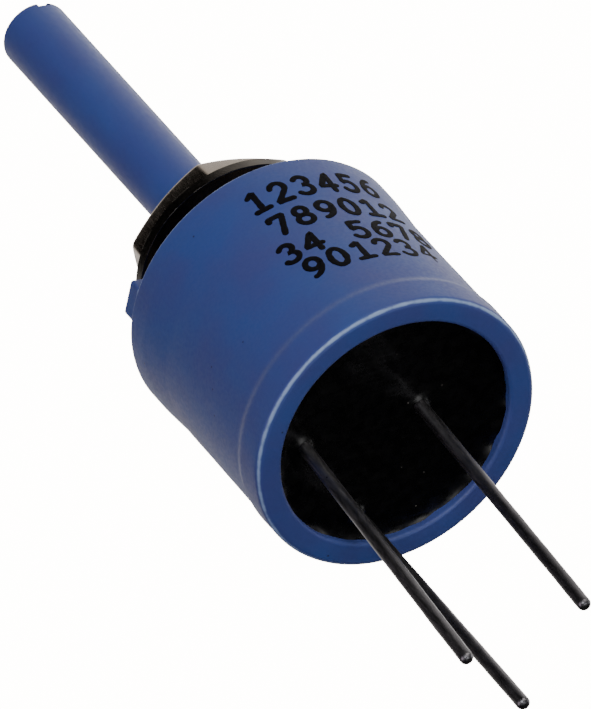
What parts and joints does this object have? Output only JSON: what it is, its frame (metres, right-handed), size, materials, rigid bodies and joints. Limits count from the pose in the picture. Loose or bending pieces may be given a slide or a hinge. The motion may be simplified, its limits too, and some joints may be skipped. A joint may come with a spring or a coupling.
{
  "type": "rotary potentiometer",
  "caption": "Panel-mounting rotary potentiometer: round blue cup, threaded bushing with nut and lock washer, slotted shaft, black potting and three wire terminals.",
  "frame": {"origin": "centre of the front mounting face, on the shaft's axis", "axes": "+Z along the shaft, out of the front; the outer pair of terminals lies towards -X"},
  "size_m": [0.0136, 0.0136, 0.0494],
  "materials": {
    "blue_moulding": "moulded thermoset, semi-matt blue",
    "nickel_brass": "turned brass, nickel plated",
    "blue_shaft": "moulded plastic, satin blue",
    "o_ring_rubber": "nitrile rubber",
    "spring_steel": "stamped spring steel",
    "thrust_bronze": "phosphor bronze sheet",
    "hub_moulding": "moulded black phenolic",
    "contact_alloy": "gold-flashed spring alloy",
    "ceramic": "fired alumina",
    "cermet_film": "fired cermet film",
    "silver_film": "fired silver-palladium film",
    "base_laminate": "phenolic laminate",
    "solder": "tin-lead solder",
    "tinned_wire": "hot-tinned copper alloy wire",
    "black_epoxy": "black casting epoxy",
    "nickel_steel": "stamped steel, nickel plated",
    "nickel_nut": "turned brass, nickel plated"
  },
  "bodies": {
    "housing": {"housing": "blue_moulding", "bushing": "nickel_brass", "element_substrate": "ceramic", "resistance_track": "cermet_film", "track_end_pads": "silver_film", "collector_ring": "silver_film", "terminal_base": "base_laminate", "solder_joints": "solder", "terminal_1": "tinned_wire", "terminal_2": "tinned_wire", "terminal_3": "tinned_wire", "epoxy_seal": "black_epoxy"},
    "shaft": {"shaft": "blue_shaft", "rotor_hub": "hub_moulding", "wiper_spring": "contact_alloy", "o_ring": "o_ring_rubber", "retaining_ring": "spring_steel", "thrust_washer": "thrust_bronze"},
    "lock_washer": {"lock_washer": "nickel_steel"},
    "nut": {"hex_nut": "nickel_nut"}
  },
  "joints": [
    {"name": "shaft_turn", "type": "hinge", "parent": "housing", "child": "shaft", "pos_m": [0, 0, 0], "axis": [0, 0, 1], "range_deg": [-147.5, 147.5]},
    {"name": "washer_slide", "type": "slide", "parent": "housing", "child": "lock_washer", "axis": [0, 0, 1], "range_m": [-0.00104, 0.0025]},
    {"name": "nut_turn", "type": "hinge", "parent": "lock_washer", "child": "nut", "pos_m": [0, 0, 0.004], "axis": [0, 0, 1], "range_deg": [-472.2, 1134.4]}
  ],
  "couplings": [
    {"joint": "nut_turn", "follows": "washer_slide", "rad_per_m": 7915.8}
  ]
}
